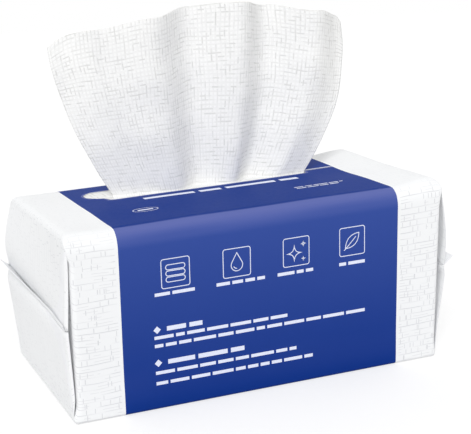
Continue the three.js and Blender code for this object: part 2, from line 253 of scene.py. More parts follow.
def bezier(start, control, end, t):
    """Points of a quadratic curve."""
    start, control, end = (np.array(p, float) for p in (start, control, end))
    t = np.asarray(t)[:, None]
    return (1 - t) ** 2 * start + 2 * t * (1 - t) * control + t**2 * end


def walked(line):
    """How far each point of a line lies from its start, measured along it."""
    return np.concatenate([[0], np.cumsum(np.linalg.norm(np.diff(line, axis=0), axis=1))])


def ripple(x, y, size, seed):
    """Gentle unevenness from -1 to 1: a few waves in fixed directions, about size across."""
    pick = random.Random(seed)
    total = 0.0
    for _ in range(6):
        angle = pick.uniform(0, math.pi)
        wave = size * pick.uniform(0.7, 1.6)
        phase = pick.uniform(0, 2 * math.pi)
        total = total + np.sin(2 * math.pi * (x * math.cos(angle) + y * math.sin(angle)) / wave + phase)
    return total / 6


# Meshes

def new_object(name, vertices, faces):
    """A mesh object from points in millimetres."""
    mesh = bpy.data.meshes.new(name)
    mesh.from_pydata((np.asarray(vertices) * MM).tolist(), [], faces)
    mesh.validate()
    obj = bpy.data.objects.new(name, mesh)
    bpy.context.collection.objects.link(obj)
    mesh.polygons.foreach_set("use_smooth", [True] * len(mesh.polygons))
    return obj


def clean(obj):
    """Merges points that meet, drops faces with no area and turns all faces outward."""
    bm = bmesh.new()
    bm.from_mesh(obj.data)
    bmesh.ops.remove_doubles(bm, verts=bm.verts, dist=MERGE_DISTANCE * MM)
    bmesh.ops.dissolve_degenerate(bm, edges=bm.edges, dist=MERGE_DISTANCE * MM)
    bmesh.ops.recalc_face_normals(bm, faces=bm.faces)
    bm.to_mesh(obj.data)
    bm.free()


def apply_modifiers(obj):
    """Replaces the mesh by what its modifiers make of it."""
    graph = bpy.context.evaluated_depsgraph_get()
    made = bpy.data.meshes.new_from_object(obj.evaluated_get(graph))
    obj.modifiers.clear()
    old = obj.data
    obj.data = made
    bpy.data.meshes.remove(old)


def grid_faces(rows, columns, closed):
    """Quads of a grid of points, joined round from the last column to the first if closed."""
    faces = []
    for r in range(rows - 1):
        for c in range(columns if closed else columns - 1):
            after = (c + 1) % columns
            faces.append((
                r * columns + c,
                r * columns + after,
                (r + 1) * columns + after,
                (r + 1) * columns + c,
            ))
    return faces


# Film

def fractions(*stops, step):
    """Rising values through all the stops, no further apart than step."""
    values = [stops[0]]
    for start, end in zip(stops, stops[1:]):
        count = max(1, math.ceil((end - start) / step - 1e-6))
        values.extend(start + (end - start) * (i + 1) / count for i in range(count))
    return np.array(values)


def top_columns():
    """Where the lengthwise lines of the top panel lie, as shares of its flat half depth."""
    flat = BODY_DEPTH / 2 - TOP_EDGE_RADIUS
    strip = 3
    edge = fractions(0, strip, step=0.6)
    stops = (SLOT_FRONT, SLIT_FRONT, SLIT_BACK, NARROW_FRONT, NARROW_BACK, SLOT_BACK)
    lines = fractions(strip - flat, *stops, flat - strip, step=FILM_STEP)
    return np.concatenate([edge[:-1] - flat, lines, flat - edge[-2::-1]]) / flat


def section(row):
    """One loop round the pack, seen from the right: top, far side, base, near side."""
    half = BODY_DEPTH / 2
    tuck = row["tuck"]
    top_x, top_z = row["top"]
    base_x, base_z = row["base"]
    side_x = row["side"]
    top_radius = row["top_radius"]
    base_radius = row["base_radius"]
    top_half = half - top_radius
    base_half = half - base_radius
    high = top_z - top_radius
    low = base_z + base_radius
    strip = FOLD_START * row["spread"]
    start = high - strip
    end = low + strip
    loop = []
    for angle in np.linspace(0, math.pi / 2, TOP_BEND_STEPS + 1)[1:]:
        sine, cosine = math.sin(angle), math.cos(angle)
        loop.append((top_x, top_half + top_radius * sine, high + top_radius * cosine))
    for share in np.linspace(0, 1, STRIP_STEPS + 1)[1:]:
        loop.append((top_x + (side_x - top_x) * share, half - tuck * share, high - strip * share))
    for share in np.linspace(0, 1, SIDE_STEPS + 1)[1:]:
        loop.append((side_x, half - tuck, start + (end - start) * share))
    for share in np.linspace(0, 1, STRIP_STEPS + 1)[1:]:
        loop.append((side_x + (base_x - side_x) * share, half - tuck * (1 - share), end - strip * share))
    for angle in np.linspace(0, math.pi / 2, BASE_BEND_STEPS + 1)[1:]:
        sine, cosine = math.sin(angle), math.cos(angle)
        loop.append((base_x, base_half + base_radius * cosine, low - base_radius * sine))
    top = [(top_x, share * top_half, top_z) for share in top_columns()]
    base = [(base_x, share * base_half, base_z) for share in np.linspace(1, -1, BASE_STEPS + 1)[1:]]
    near = [(x, -y, z) for x, y, z in loop[:-1]]
    return top + loop + base + near[::-1]


def tube_row(x):
    """A loop where the pack is a plain tube."""
    return {
        "top": (x, BODY_HEIGHT), "base": (x, BASE_LIFT), "side": x, "tuck": 0.0, "spread": 1.0,
        "top_radius": TOP_EDGE_RADIUS, "base_radius": BASE_EDGE_RADIUS,
    }


def end_rows(gap):
    """Loops of the right end, from the tube out to the fin. The sides end this gap short of the flaps."""
    wall = BODY_LENGTH / 2
    flat = wall - END_EDGE_RADIUS
    root = wall + END_BULGE
    edge_level = BODY_HEIGHT - END_EDGE_RADIUS
    base_level = BASE_LIFT + END_BASE_RADIUS
    rows = []
    turn = np.linspace(0, 1, 9)[1:]
    top_turn = bezier((flat, BODY_HEIGHT), (wall, BODY_HEIGHT), (wall, edge_level), turn)
    for share, (x, z) in zip(turn, top_turn):
        base_share = max(0.0, (x - (wall - END_BASE_RADIUS)) / END_BASE_RADIUS)
        side_x = flat + (x - flat) * (1 - gap / END_EDGE_RADIUS)
        pocket_share = max(0.0, (side_x - (wall - gap - POCKET_EDGE_RADIUS)) / POCKET_EDGE_RADIUS)
        rows.append({
            "top": (x, z), "base": (x, BASE_LIFT + END_BASE_RADIUS * (1 - math.sqrt(1 - base_share**2))),
            "side": side_x, "spread": 1.0,
            "tuck": POCKET_EDGE_RADIUS * (1 - math.sqrt(max(0.0, 1 - pocket_share**2))),
            "top_radius": TOP_EDGE_RADIUS + (FOLD_RADIUS - TOP_EDGE_RADIUS) * share**2,
            "base_radius": BASE_EDGE_RADIUS + (FOLD_RADIUS - BASE_EDGE_RADIUS) * share**2,
        })
    down = fractions(0, 0.02, 1, step=0.06)[1:]
    upper_middle = (wall + UPPER_FLAP_FULLNESS * END_BULGE, (FIN_LEVEL + BODY_HEIGHT) / 2)
    lower_middle = (wall + LOWER_FLAP_FULLNESS * END_BULGE, FIN_LEVEL / 2)
    top_flap = bezier((wall, edge_level), upper_middle, (root, FIN_LEVEL + FIN_THICKNESS / 2), down)
    base_flap = bezier((wall, base_level), lower_middle, (root, FIN_LEVEL - FIN_THICKNESS / 2), down)
    for share, top, base in zip(down, top_flap, base_flap):
        room = (top[1] - base[1]) / 2
        radius = min(FOLD_RADIUS, 0.3 * room)
        rows.append({
            "top": tuple(top), "base": tuple(base),
            "side": wall - SIDE_SETBACK - gap * (1 - share) + END_BULGE * share,
            "tuck": POCKET_EDGE_RADIUS + (GUSSET_DEPTH - POCKET_EDGE_RADIUS) * share,
            "spread": min(0.02, room * 0.01),
            "top_radius": radius, "base_radius": radius,
        })
    return rows


def film_rows():
    """All loops of the film, from its left fin to its right one."""
    flat = BODY_LENGTH / 2 - END_EDGE_RADIUS
    stops = (NARROW_LEFT, SLOT_LEFT, SLOT_STEP_BACK, SLOT_RIGHT, SLIT_RIGHT)
    tube = fractions(-flat, *stops, flat, step=FILM_STEP)
    left = []
    for row in reversed(end_rows(LEFT_POCKET_GAP)):
        turned = dict(row)
        turned["top"] = (-row["top"][0], row["top"][1])
        turned["base"] = (-row["base"][0], row["base"][1])
        turned["side"] = -row["side"]
        left.append(turned)
    return left + [tube_row(x) for x in tube] + end_rows(RIGHT_POCKET_GAP)


def in_slot(x, y):
    """True where the top panel is cut away."""
    wide_left = SLOT_LEFT if y < NARROW_BACK else SLOT_STEP_BACK
    wide = wide_left < x < SLOT_RIGHT and SLOT_FRONT < y < SLOT_BACK
    narrow = NARROW_LEFT < x < SLOT_LEFT and NARROW_FRONT < y < NARROW_BACK
    slit = SLOT_RIGHT < x < SLIT_RIGHT and SLIT_FRONT < y < SLIT_BACK
    return wide or narrow or slit


def soften(points):
    """Slight unevenness of film over soft towels. The base sags to the floor beside the seam."""
    x, y, z = points[:, 0], points[:, 1], points[:, 2]
    # The unevenness begins above the base and fades out toward the ends
    height = smooth((z - 4) / 20)
    end = smooth((BODY_LENGTH / 2 - 6 - np.abs(x)) / 12)
    on_side = np.where(np.abs(y) > BODY_DEPTH / 2 - 1.5, np.sign(y), 0)
    on_top = smooth((z - (BODY_HEIGHT - 0.5)) / 0.4)
    shaped = points.copy()
    shaped[:, 1] += on_side * end * height * SIDE_UNEVENNESS * (ripple(x, z, 60, 3) - 1)
    shaped[:, 2] += on_top * end * TOP_UNEVENNESS * (ripple(x, y, 55, 5) - 1)
    shaped[:, 2] -= (BASE_LIFT - 0.02) * smooth((np.abs(y) - SEAM_WIDTH) / 20) * smooth((4 - z) / 4)
    # The top is fuller at the back of its right half, and at its right end
    puff = PUFF_AT_BACK * smooth((y + 5) / 50) * smooth((x - 10) / 70)
    puff += PUFF_AT_RIGHT_END * smooth((x - 75) / 20)
    shaped[:, 2] += puff * smooth((z - 50) / 44)
    return shaped


def settle_ends(points):
    """How the folded ends lie: full at the back, flatter in front, with a valley along the fin."""
    x, y, z = points[:, 0], points[:, 1], points[:, 2]
    wall = BODY_LENGTH / 2
    half = BODY_DEPTH / 2
    side = np.sign(x)
    back = smooth((y + half) / BODY_DEPTH)
    out = np.clip(np.abs(x) - wall, 0, None)

    def toward_back(at_front, at_back):
        return at_front + (at_back - at_front) * back

    left_front = np.interp(z, (FIN_LEVEL, FIN_LEVEL + 25), LEFT_FRONT_FULLNESS)
    left_fullness = toward_back(left_front, LEFT_BACK_FULLNESS)
    fullness = np.where(side < 0, left_fullness, toward_back(RIGHT_FRONT_FULLNESS, 1.0))
    # The left valley fades at the front, and both reach further above the fin than below it
    left_valley = LEFT_FIN_VALLEY * smooth((y + half) / 25)
    reach = np.where(z > FIN_LEVEL, 9, 4)
    valley = np.where(side < 0, left_valley, RIGHT_FIN_VALLEY) * np.exp(-(((z - FIN_LEVEL) / reach) ** 2))
    full = out * fullness * (1 - valley)
    # The flaps' upright edges are rounded
    edge = np.clip((np.abs(y) - (half - FLAP_EDGE_RADIUS)) / FLAP_EDGE_RADIUS, 0, 1)
    inset = np.where(side < 0, LEFT_EDGE_INSET, RIGHT_EDGE_INSET) * smooth(out)
    full -= inset * (1 - np.sqrt(1 - edge**2))
    # So are the body's corners beside them
    corner = np.clip((np.abs(x) - wall + 2 * CORNER_RADIUS) / (2 * CORNER_RADIUS), 0, 1)
    inward = CORNER_RADIUS * (1 - np.sqrt(1 - corner**2)) * smooth((np.abs(y) - half + 12) / 12)
    lean_out = RIGHT_END_LEAN * (z / 45 - 0.6) * smooth((x - wall + 40) / 40)
    shift = np.where(side < 0, toward_back(*LEFT_FIN_SHIFT), toward_back(*RIGHT_FIN_SHIFT))
    settled = points.copy()
    settled[:, 0] += side * (full - out) + lean_out
    settled[:, 1] -= np.sign(y) * inward
    settled[:, 2] += shift * np.exp(-(((z - FIN_LEVEL) / 26) ** 2)) * smooth(out / 2)
    return settled


def round_slot(points):
    """Moves the film at the slot's corners in a little, so that they are round."""
    x, y = points[:, 0], points[:, 1]
    on_top = points[:, 2] > BODY_HEIGHT - 0.1
    rounded = points.copy()
    for corner_x, corner_y, toward_x, toward_y, amount, reach in SLOT_CORNERS:
        near = on_top * amount * np.exp(-((x - corner_x) ** 2 + (y - corner_y) ** 2) / reach**2)
        rounded[:, 0] += toward_x * near
        rounded[:, 1] += toward_y * near
    return rounded


def film_lengths(points):
    """Where each point of the loops lies on the flat film: along the pack and round it."""
    along = np.zeros(points.shape[:2])
    steps = np.linalg.norm(np.diff(points, axis=0), axis=2)
    along[1:] = np.cumsum(steps, axis=0)
    middle = points.shape[0] // 2
    along += points[middle, :, 0] - along[middle]
    tube = points[middle]
    around = walked(tube)
    seam = np.argmin(np.hypot(tube[:, 1], tube[:, 2]))
    whole = around[-1] + np.linalg.norm(tube[0] - tube[-1])
    around[seam:] -= whole
    return along, np.broadcast_to(around, along.shape)


def write_uv(obj, uvs):
    """Keeps a flat place in millimetres for each point."""
    layer = obj.data.uv_layers.new(name="flat_mm")
    index = np.empty(len(obj.data.loops), dtype=np.int32)
    obj.data.loops.foreach_get("vertex_index", index)
    layer.data.foreach_set("uv", uvs[index].astype(np.float32).ravel())


def film_mesh():
    """The whole wrapper, printed outside, bare inside and on its cut edges."""
    points = np.array([section(row) for row in film_rows()])
    along, around = film_lengths(points)
    row_count, column_count = points.shape[:2]
    flat = points.reshape(-1, 3)
    kept = []
    for face in grid_faces(row_count, column_count, True):
        centre = flat[list(face)].mean(axis=0)
        if centre[2] > BODY_HEIGHT - 0.1 and in_slot(centre[0], centre[1]):
            continue
        kept.append(face)
    obj = new_object("film_pack", lean(settle_ends(soften(round_slot(flat)))), kept)
    write_uv(obj, np.stack([along.ravel(), around.ravel()], axis=1))
    clean(obj)
    shell = obj.modifiers.new("thickness", "SOLIDIFY")
    shell.thickness = FILM_THICKNESS * MM
    shell.offset = -1
    shell.material_offset = 1
    shell.material_offset_rim = 1
    obj.data.materials.append(film_look)
    obj.data.materials.append(bare_film_look)
    apply_modifiers(obj)
    return obj


def fin_mesh(name, side):
    """The sealed fin across one end. It stands up a little, and the left one is tucked in at the front."""
    root = BODY_LENGTH / 2 + END_BULGE - FIN_ROOT_DEPTH
    half = BODY_DEPTH / 2
    across = np.linspace(-half + FIN_END_INSET, half - FIN_END_INSET, 61)
    free = smooth((across + half) / half) if side < 0 else np.ones_like(across)
    level = np.zeros_like(across)
    reach = FIN_LENGTH * (0.4 + 0.6 * free) + FIN_EDGE_UNEVENNESS * ripple(across, level, 30, 11 + side)
    rise = FIN_RISE * (0.6 + 0.4 * free) + FIN_RISE_UNEVENNESS * ripple(across, level, 24, 17 + side)
    profile = ((0, -0.5), (0.5, -0.5), (1, -0.5), (1, 0.5), (0.5, 0.5), (0, 0.5))
    rings = []
    for y, out, up in zip(across, reach, rise):
        slant = math.hypot(out, up)
        for share, face in profile:
            place = root + out * share + FIN_ROOT_DEPTH * (share > 0)
            rings.append((
                side * (place - face * FIN_THICKNESS * up / slant),
                y,
                FIN_LEVEL + up * share**1.3 + face * FIN_THICKNESS * out / slant,
            ))
    count = len(profile)
    faces = grid_faces(len(across), count, True)
    faces += [tuple(range(count)), tuple(reversed(range(len(rings) - count, len(rings))))]
    obj = new_object(name, lean(settle_ends(np.array(rings))), faces)
    places = np.array([(FIN_FLAT_WIDTH * share, y) for y in across for share, _ in profile])
    write_uv(obj, places)
    clean(obj)
    mark_sharp_edges(obj, 50)
    return obj


def seam_mesh():
    """The lengthwise seam, folded flat under the pack."""
    half = BODY_LENGTH / 2 - 2 * BASE_EDGE_RADIUS
    edge = SEAM_WIDTH / 2
    levels = (BASE_LIFT + 0.1, 0.02)
    along = np.linspace(-half, half, 41)
    rings = [(x, y, z) for x in along for y, z in (
        (-edge, levels[0]), (edge, levels[0]), (edge, levels[1]), (-edge, levels[1]),
    )]
    faces = grid_faces(len(along), 4, True)
    faces += [(0, 1, 2, 3), tuple(reversed(range(len(rings) - 4, len(rings))))]
    obj = new_object("back_seam", lean(np.array(rings)), faces)
    write_uv(obj, np.array([(x, y) for x, y, _ in rings]))
    clean(obj)
    mark_sharp_edges(obj, 30)
    return obj


def mark_sharp_edges(obj, degrees):
    """Edges sharper than this stay crisp."""
    bm = bmesh.new()
    bm.from_mesh(obj.data)
    for edge in bm.edges:
        edge.smooth = len(edge.link_faces) == 2 and edge.calc_face_angle(0) < math.radians(degrees)
    bm.to_mesh(obj.data)
    bm.free()


# Nodes

def add(tree, kind, inputs=(), **settings):
    """Adds a node, sets it, and fills its inputs with values or links, by name or in their order.
    The name of a shader node is given without its usual beginning."""
    made = tree.nodes.new(kind if "Node" in kind else "ShaderNode" + kind)
    for name, value in settings.items():
        setattr(made, name, value)
    for key, value in inputs.items() if isinstance(inputs, dict) else enumerate(inputs):
        if isinstance(value, bpy.types.NodeSocket):
            tree.links.new(value, made.inputs[key])
        else:
            made.inputs[key].default_value = value
    return made.outputs


def group_input(tree, name, kind, value):
    """A named input of a node tree with its usual value."""
    made = tree.interface.new_socket(name=name, in_out="INPUT", socket_type="NodeSocket" + kind)
    made.default_value = value


# Towels

def fold_value(u, kind):
    """How far back the folds stand in the slot (1) or at the top (2), or how far their edge drops (3)."""
    folds = np.array(FAN_FOLDS)
    places, values = folds[:, 0], folds[:, kind]
    after = np.clip(np.searchsorted(places, u), 1, len(places) - 1)
    share = (u - places[after - 1]) / (places[after] - places[after - 1])
    ease = (1 - np.cos(math.pi * np.clip(share, 0, 1))) / 2
    return values[after - 1] + (values[after] - values[after - 1]) * ease


def fan_points(u, rise):
    """Points of the standing sheet, u across it and rise 0 in the slot to 1 at its top edge."""
    foot = FOOT_LEFT + (FOOT_RIGHT - FOOT_LEFT) * u
    spread = FAN_CENTRE + FAN_LENGTH * (u - 0.5)
    opening = 1 - (1 - rise) ** (LEFT_SPREAD_POWER + (RIGHT_SPREAD_POWER - LEFT_SPREAD_POWER) * u)
    in_slot_back = WAVE_DEPTH_SHOWN * fold_value(u, 1)
    at_top_back = WAVE_DEPTH_AT_TOP * fold_value(u, 2) + WAVE_LEAN_BACK
    base = LEAF_LEVELS[3] + BEND_RADIUS
    top = BODY_HEIGHT + STANDING_HEIGHT - fold_value(u, 3)
    x = foot + (spread - foot) * opening
    y = SLOT_FRONT + SLOT_CLEARANCE + in_slot_back + (at_top_back - in_slot_back) * rise
    z = base + (top - base) * rise
    # Small waves, none where the slot holds the sheet, and the two upper corners droop
    free = smooth(rise / 0.25)
    y = y + free * (0.8 * ripple(x, z, 34, 21) + 0.3 * ripple(x, 0.3 * z, 12, 22))
    x = x + free * 0.5 * ripple(z, x, 40, 23)
    corner = 4.5 * np.clip(1 - u / 0.07, 0, 1) ** 2 + 3.5 * np.clip(1 - (1 - u) / 0.03, 0, 1) ** 2
    z = z + smooth((rise - 0.6) / 0.4) * (0.5 * ripple(x, 0 * x, 30, 24) - corner)
    return np.stack([x, y, z], axis=-1)


def leaf_line(x, y, level):
    """One straight line of a lying leaf, along the pack."""
    return np.stack([x, np.full_like(x, y), np.full_like(x, level)], axis=-1)


def cloth_object(name, rows):
    """A closed sheet of cloth round a grid of points, with its flat place in millimetres."""
    points = np.array(rows)
    row_count, column_count = points.shape[:2]
    obj = new_object(name, lean(points.reshape(-1, 3)), grid_faces(row_count, column_count, False))
    across = np.linspace(-0.5, 0.5, column_count) * TOWEL_LENGTH
    lengths = walked(points[:, column_count // 2])
    write_uv(obj, np.array([(place, length) for length in lengths for place in across]))
    shell = obj.modifiers.new("thickness", "SOLIDIFY")
    shell.thickness = CLOTH_THICKNESS * MM
    shell.offset = 0
    apply_modifiers(obj)
    return obj


def standing_towel():
    """One towel: its lower end folded under the film, a bend in the slot, and the fan above."""
    u = np.linspace(0, 1, 181)
    low, high = LEAF_LEVELS[1], LEAF_LEVELS[3]
    radius = (high - low) / 2
    x = (2 * u - 1) * LEAF_HALF_LENGTH
    hidden = TOWEL_WIDTH - STANDING_HEIGHT - (SLOT_FRONT - FRONT_FOLD)
    rows = [leaf_line(x, y, low) for y in np.linspace(FRONT_FOLD + hidden, FRONT_FOLD + 1, 6)]
    for angle in np.linspace(-math.pi / 2, math.pi / 2, 9):
        level = low + radius + radius * math.sin(angle)
        rows.append(leaf_line(x, FRONT_FOLD - radius * math.cos(angle), level))
    folded = rows[-1]
    foot = fan_points(u, np.zeros_like(u))
    start = foot - np.array([0, BEND_RADIUS, foot[0, 2] - high])
    start[:, 2] = high
    for share in np.linspace(0, 1, 16)[1:]:
        rows.append(folded + (start - folded) * share)
    for angle in np.linspace(0, math.pi / 2, 7)[1:-1]:
        rows.append(start + BEND_RADIUS * np.array([0, math.sin(angle), 1 - math.cos(angle)]))
    for rise in np.linspace(0, 1, 111):
        rows.append(fan_points(u, np.full_like(u, rise)))
    return cloth_object("standing_towel", rows)


def bulge_in_slot(x, y):
    """How far the lying towel rises where the slot leaves it free, behind the standing one."""
    foot_share = np.clip((x - FOOT_LEFT) / (FOOT_RIGHT - FOOT_LEFT), 0, 1)
    foot_back = SLOT_FRONT + SLOT_CLEARANCE + WAVE_DEPTH_SHOWN * fold_value(foot_share, 1)
    beside = smooth((FOOT_LEFT - x) / 6) + smooth((x - FOOT_RIGHT) / 6)
    behind = np.maximum(smooth((y - foot_back - 1.2) / 4), beside * smooth((y - SLOT_FRONT - 4) / 4))
    lengthwise = smooth((x - NARROW_LEFT + 6) / 8) * smooth((SLOT_RIGHT + 8 - x) / 8)
    crosswise = smooth((SLOT_BACK + 6 - y) / 8)
    return SLOT_BULGE * behind * lengthwise * crosswise


def lying_towel():
    """The towel on top of the pile, folded round the hidden end of the standing one."""
    low, high = LEAF_LEVELS[0], LEAF_LEVELS[2]
    radius = (high - low) / 2
    x = np.linspace(-1, 1, 141) * LEAF_HALF_LENGTH
    rows = [leaf_line(x, y, low) for y in np.linspace(-BACK_FOLD, BACK_FOLD, 20)]
    for angle in np.linspace(-math.pi / 2, math.pi / 2, 9)[1:-1]:
        level = low + radius + radius * math.sin(angle)
        rows.append(leaf_line(x, BACK_FOLD + radius * math.cos(angle), level))
    for y in np.linspace(BACK_FOLD, FRONT_FOLD + 1.5, 90):
        row = leaf_line(x, y, high)
        row[:, 2] += bulge_in_slot(row[:, 0], row[:, 1])
        rows.append(row)
    return cloth_object("lying_towel", rows)


def folded_leaf(tree, sizes):
    """One towel folded once: a grid laid along a U, then given its thickness."""
    turns = 12
    grid = add(tree, "GeometryNodeMeshGrid", {
        "Size X": sizes["Length"], "Size Y": 1.0, "Vertices X": 7, "Vertices Y": turns + 1,
    })
    index = add(tree, "GeometryNodeInputIndex")[0]
    step = add(tree, "Math", (index, turns + 1.0), operation="MODULO")[0]
    # 1 at every point of the bend, 0 at the two open edges
    steps_left = add(tree, "Math", (float(turns), step), operation="SUBTRACT")[0]
    nearer = add(tree, "Math", (step, steps_left), operation="MINIMUM")[0]
    inside = add(tree, "Math", (nearer, 1.0), operation="MINIMUM")[0]
    turned = add(tree, "Math", (step, 1.0), operation="SUBTRACT")[0]
    share = add(tree, "Math", (turned, turns - 2.0), operation="DIVIDE")[0]
    angle = add(tree, "Math", (add(tree, "Clamp", (share,))[0], math.pi), operation="MULTIPLY")[0]
    # The U lies on its side: straight parts along Y, the bend at the far end
    sine = add(tree, "Math", (angle,), operation="SINE")[0]
    cosine = add(tree, "Math", (angle,), operation="COSINE")[0]
    middle = add(tree, "Math", (sizes["Straight"], -0.5), operation="MULTIPLY")[0]
    bend_y = add(tree, "Math", (sizes["Straight"], inside, middle), operation="MULTIPLY_ADD")[0]
    y = add(tree, "Math", (sizes["Radius"], sine, bend_y), operation="MULTIPLY_ADD")[0]
    upside_down = add(tree, "Math", (cosine, -1.0), operation="MULTIPLY")[0]
    z = add(tree, "Math", (sizes["Radius"], upside_down), operation="MULTIPLY")[0]
    x = add(tree, "SeparateXYZ", (add(tree, "GeometryNodeInputPosition")[0],))[0]
    before = add(tree, "Math", (sizes["Straight"], inside), operation="MULTIPLY")[0]
    along = add(tree, "Math", (sizes["Radius"], angle, before), operation="MULTIPLY_ADD")[0]
    flat = add(tree, "CombineXYZ", (
        add(tree, "Math", (x, 1000.0), operation="MULTIPLY")[0],
        add(tree, "Math", (along, 1000.0), operation="MULTIPLY")[0],
    ))
    marked = add(tree, "GeometryNodeStoreNamedAttribute", {
        "Geometry": grid[0], "Name": "flat_mm", "Value": flat[0],
    }, data_type="FLOAT2", domain="CORNER")
    place = add(tree, "CombineXYZ", (x, y, z))[0]
    laid = add(tree, "GeometryNodeSetPosition", {"Geometry": marked[0], "Position": place})[0]
    thick = add(tree, "GeometryNodeExtrudeMesh", {
        "Mesh": laid, "Offset Scale": sizes["Thickness"], "Individual": False,
    }, mode="FACES")[0]
    under = add(tree, "GeometryNodeFlipFaces", (laid,))[0]
    both = tree.nodes.new("GeometryNodeJoinGeometry")
    for side in (thick, under):
        tree.links.new(side, both.inputs[0])
    return add(tree, "GeometryNodeMergeByDistance", {"Geometry": both.outputs[0], "Distance": 1e-6})[0]


def pile_tree(material):
    """Interfolded pile: folded towels one above another, each turned round from the one below it."""
    tree = bpy.data.node_groups.new("interfolded_pile", "GeometryNodeTree")
    tree.interface.new_socket(name="Geometry", in_out="OUTPUT", socket_type="NodeSocketGeometry")
    group_input(tree, "Towels", "Int", 10)
    for name in ("Pitch", "Length", "Straight", "Radius", "Thickness", "Unevenness"):
        group_input(tree, name, "Float", 0.001)
    group_input(tree, "Seed", "Int", 1)
    sizes = tree.nodes.new("NodeGroupInput").outputs
    leaf = folded_leaf(tree, sizes)
    line = add(tree, "GeometryNodeMeshLine", {
        "Count": sizes["Towels"], "Offset": add(tree, "CombineXYZ", {2: sizes["Pitch"]})[0],
    })[0]
    index = add(tree, "GeometryNodeInputIndex")[0]
    every_other = add(tree, "Math", (index, 2.0), operation="MODULO")[0]
    turn = add(tree, "Math", (every_other, math.pi), operation="MULTIPLY")[0]
    shift = add(tree, "FunctionNodeRandomValue", {
        "Min": (-1.0, -1.0, 0.0), "Max": (1.0, 1.0, 0.0), "Seed": sizes["Seed"],
    }, data_type="FLOAT_VECTOR")[0]
    scaled = add(tree, "VectorMath", {0: shift, "Scale": sizes["Unevenness"]}, operation="SCALE")[0]
    moved = add(tree, "GeometryNodeSetPosition", {"Geometry": line, "Offset": scaled})[0]
    towels = add(tree, "GeometryNodeInstanceOnPoints", {
        "Points": moved, "Instance": leaf, "Rotation": add(tree, "CombineXYZ", {2: turn})[0],
    })[0]
    real = add(tree, "GeometryNodeRealizeInstances", (towels,))[0]
    dressed = add(tree, "GeometryNodeSetMaterial", {"Geometry": real, "Material": material})[0]
    add(tree, "NodeGroupOutput", (dressed,))
    return tree


def towel_pile():
    """The towels under the top two, as a mesh made by geometry nodes. Each leaf takes one level."""
    levels = 2 * PILE_TOWELS + 2
    level = PILE_HEIGHT / levels
    obj = new_object("towel_pile", [(0, 0, 0)], [])
    nodes = obj.modifiers.new("pile", "NODES")
    nodes.node_group = pile_tree(cloth_look)
    values = {
        "Towels": PILE_TOWELS, "Pitch": 2 * level * MM, "Length": PILE_LENGTH * MM,
        "Straight": PILE_STRAIGHT * MM, "Radius": 1.5 * level * MM,
        "Thickness": PILE_LEAF_THICKNESS * MM, "Unevenness": PILE_UNEVENNESS * MM, "Seed": 7,
    }
    for item in nodes.node_group.interface.items_tree:
        if item.in_out == "INPUT":
            nodes[item.identifier] = values[item.name]
    apply_modifiers(obj)
    points = np.empty(3 * len(obj.data.vertices))
    obj.data.vertices.foreach_get("co", points)
    points = points.reshape(-1, 3) / MM
    points += (PILE_SHIFT, 0, WALL + REST_GAP + 2 * level)
    obj.data.vertices.foreach_set("co", (lean(points) * MM).ravel())
    obj.data.update()
    return obj


# Print

def stroke(points, width, closed=False):
    """A flat line of some width along 2-D points."""
    points = np.array(points, float)
    count = len(points)
    before = np.roll(points, 1, axis=0) if closed else np.vstack([points[:1], points[:-1]])
    after = np.roll(points, -1, axis=0) if closed else np.vstack([points[1:], points[-1:]])
    into = points - before
    out = after - points
    if not closed:
        into[0] = out[0]
        out[-1] = into[-1]
    into /= np.linalg.norm(into, axis=1)[:, None]
    out /= np.linalg.norm(out, axis=1)[:, None]
    mean = into + out
    mean /= np.linalg.norm(mean, axis=1)[:, None]
    normal = np.stack([-mean[:, 1], mean[:, 0]], axis=1)
    cosine = np.clip((mean * out).sum(axis=1), 0.5, 1)
    offset = normal * (width / 2 / cosine)[:, None]
    verts = np.concatenate([points + offset, points - offset])
    faces = []
    for i in range(count if closed else count - 1):
        j = (i + 1) % count
        faces.append((i, j, count + j, count + i))
    return verts, faces


def outline_of(shape, centre, size):
    """A closed line given round the origin, at a place and scale."""
    return np.array(shape, float) * size + np.array(centre)


def arc(centre, radius, start, end, count):
    """Points of a circle from one angle to another, in degrees."""
    angles = np.radians(np.linspace(start, end, count))
    return [(centre[0] + radius * math.cos(a), centre[1] + radius * math.sin(a)) for a in angles]


def rounded_box(half_width, half_height, radius):
    """Outline of a box with round corners."""
    points = []
    for cx, cy, start in ((1, 1, 0), (-1, 1, 90), (-1, -1, 180), (1, -1, 270)):
        centre = (cx * (half_width - radius), cy * (half_height - radius))
        points.extend(arc(centre, radius, start, start + 90, 6))
    return points


def drop_shape():
    """Outline of a drop of water, pointed at the top."""
    return [(0, 1.0)] + arc((0, -0.25), 0.62, 25, -205, 20)


def leaf_shape():
    """Outline of a plant's leaf that points up and to the right."""
    upper = bezier((-0.8, -0.7), (-0.7, 0.75), (0.8, 0.8), np.linspace(0, 1, 12))
    lower = bezier((0.8, 0.8), (0.75, -0.7), (-0.8, -0.7), np.linspace(0, 1, 12))
    return [*upper, *lower[1:-1]]


def sparkle_shape():
    """Outline of a star with four hollow sides."""
    tips = [(0, 1), (1, 0), (0, -1), (-1, 0)]
    points = []
    for start, end in zip(tips, tips[1:] + tips[:1]):
        points.extend(bezier(start, (0, 0), end, np.linspace(0, 1, 9))[:-1] * 0.85)
    return points


